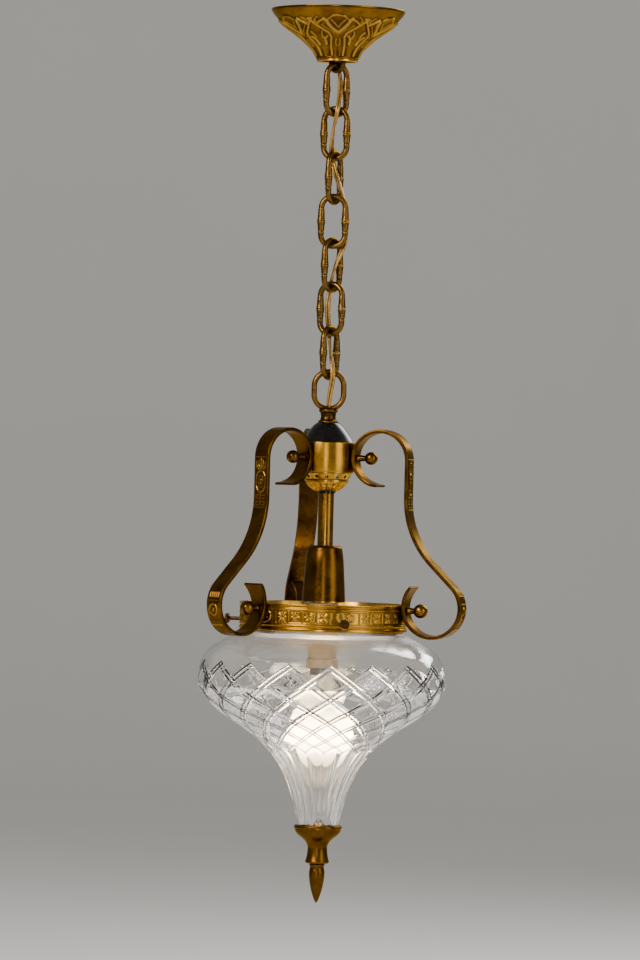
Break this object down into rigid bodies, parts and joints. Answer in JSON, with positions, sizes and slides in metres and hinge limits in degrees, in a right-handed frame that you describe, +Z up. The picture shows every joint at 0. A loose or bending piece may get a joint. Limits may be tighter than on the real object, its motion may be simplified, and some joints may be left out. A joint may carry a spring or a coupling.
{
  "type": "hanging lamp",
  "caption": "Hanging lamp with an embossed brass ceiling rose, decorative chain, scroll arms, a ring gallery and a pointed cut-glass shade round a lit bulb.",
  "frame": {"origin": "middle of the ceiling plate's top face, on the ceiling, on the lamp's axis", "axes": "+Z up along the lamp's axis; the camera of the picture looks along +Y, and +X is to the right in it"},
  "size_m": [0.2394, 0.242, 0.8039],
  "materials": {
    "brass": "satin",
    "dark_brass": "satin",
    "black_metal": "satin",
    "steel": "satin",
    "plain_brass": "satin",
    "flex_sheath": "glossy",
    "cream_plastic": "glossy",
    "porcelain": "glossy",
    "cut_glass": "glossy",
    "lamp_glass": "glossy",
    "filament": "matte",
    "fibre": "matte"
  },
  "bodies": {
    "ceiling": {"ceiling_plate": "steel", "hanger_rod": "steel", "rod_nut": "steel", "hanger_loop": "dark_brass", "terminal_block": "cream_plastic", "terminal_screws": "plain_brass", "flex": "flex_sheath"},
    "rose": {"ceiling_rose": "brass"},
    "rose_ring": {"rose_ring": "brass"},
    "link_1": {"link_1": "dark_brass"},
    "link_2": {"link_2": "dark_brass"},
    "link_3": {"link_3": "dark_brass"},
    "link_4": {"link_4": "dark_brass"},
    "link_5": {"link_5": "dark_brass"},
    "link_6": {"link_6": "dark_brass"},
    "link_7": {"link_7": "dark_brass"},
    "lamp": {"top_ring": "dark_brass", "ball_cap": "black_metal", "ball_drum": "brass", "pierced_ring": "brass", "fluted_cup": "brass", "tube_washer": "black_metal", "nipple": "plain_brass", "stem_tube": "dark_brass", "holder_cap": "plain_brass", "holder_body": "cream_plastic", "contact_block": "porcelain", "contact_plungers": "plain_brass", "stem_flex": "flex_sheath", "arm_1": "dark_brass", "arm_2": "dark_brass", "arm_3": "dark_brass", "upper_ball_screws": "dark_brass", "upper_nuts": "steel", "lower_ball_screws": "dark_brass", "lower_nuts": "steel", "gallery": "brass", "glass_shade": "cut_glass", "foot_washer": "fibre", "shade_cup": "dark_brass", "finial_stud": "steel", "inner_washer": "plain_brass", "stud_nut": "plain_brass"},
    "cover": {"holder_cover": "dark_brass", "cover_screw": "steel"},
    "thumbscrew_1": {"thumbscrew_1": "black_metal"},
    "thumbscrew_2": {"thumbscrew_2": "black_metal"},
    "thumbscrew_3": {"thumbscrew_3": "black_metal"},
    "finial": {"finial": "dark_brass"},
    "bulb": {"bulb_cap": "steel", "bulb_glass": "lamp_glass", "bulb_mount": "lamp_glass", "bulb_filament": "filament"}
  },
  "joints": [
    {"name": "swing_1", "type": "hinge", "parent": "ceiling", "child": "link_1", "pos_m": [0, 0, -0.0544], "axis": [0.766, -0.6428, 0], "range_deg": [-20, 20], "deforming": ["flex"]},
    {"name": "swing_2", "type": "hinge", "parent": "link_1", "child": "link_2", "pos_m": [0, 0, -0.09395], "axis": [-0.8192, -0.5736, 0], "range_deg": [-20, 20], "deforming": ["flex"]},
    {"name": "swing_3", "type": "hinge", "parent": "link_2", "child": "link_3", "pos_m": [0, 0, -0.1334], "axis": [-0.9397, 0.342, 0], "range_deg": [-20, 20], "deforming": ["flex"]},
    {"name": "swing_4", "type": "hinge", "parent": "link_3", "child": "link_4", "pos_m": [0, 0, -0.17285], "axis": [0.4695, 0.8829, 0], "range_deg": [-20, 20], "deforming": ["flex"]},
    {"name": "swing_5", "type": "hinge", "parent": "link_4", "child": "link_5", "pos_m": [0, 0, -0.2123], "axis": [0.9903, -0.1392, 0], "range_deg": [-20, 20], "deforming": ["flex"]},
    {"name": "swing_6", "type": "hinge", "parent": "link_5", "child": "link_6", "pos_m": [0, 0, -0.25175], "axis": [-0.6157, -0.788, 0], "range_deg": [-20, 20], "deforming": ["flex"]},
    {"name": "swing_7", "type": "hinge", "parent": "link_6", "child": "link_7", "pos_m": [0, 0, -0.2912], "axis": [-0.8829, 0.4695, 0], "range_deg": [-20, 20], "deforming": ["flex"]},
    {"name": "lamp_swing", "type": "hinge", "parent": "link_7", "child": "lamp", "pos_m": [0, 0, -0.33065], "axis": [0.5446, 0.8387, 0], "range_deg": [-20, 20], "deforming": ["flex"]},
    {"name": "rose_drop", "type": "slide", "parent": "ceiling", "child": "rose", "axis": [0, 0, -1], "range_m": [0, 0.006]},
    {"name": "rose_ring_turn", "type": "hinge", "parent": "rose", "child": "rose_ring", "pos_m": [0, 0, -0.045], "axis": [0, 0, 1], "continuous": true},
    {"name": "cover_slide", "type": "slide", "parent": "lamp", "child": "cover", "axis": [0, 0, 1], "range_m": [0, 0.044]},
    {"name": "thumbscrew_slide_1", "type": "slide", "parent": "lamp", "child": "thumbscrew_1", "axis": [0.7431, 0.6691, 0], "range_m": [0, 0.006]},
    {"name": "thumbscrew_slide_2", "type": "slide", "parent": "lamp", "child": "thumbscrew_2", "axis": [-0.9511, 0.309, 0], "range_m": [0, 0.006]},
    {"name": "thumbscrew_slide_3", "type": "slide", "parent": "lamp", "child": "thumbscrew_3", "axis": [0.2079, -0.9781, 0], "range_m": [0, 0.006]},
    {"name": "finial_turn", "type": "hinge", "parent": "lamp", "child": "finial", "pos_m": [0, 0, -0.7799], "axis": [0, 0, 1], "continuous": true},
    {"name": "bulb_turn", "type": "hinge", "parent": "lamp", "child": "bulb", "pos_m": [0, 0, -0.5719], "axis": [0, 0, 1], "range_deg": [0, 25]}
  ]
}
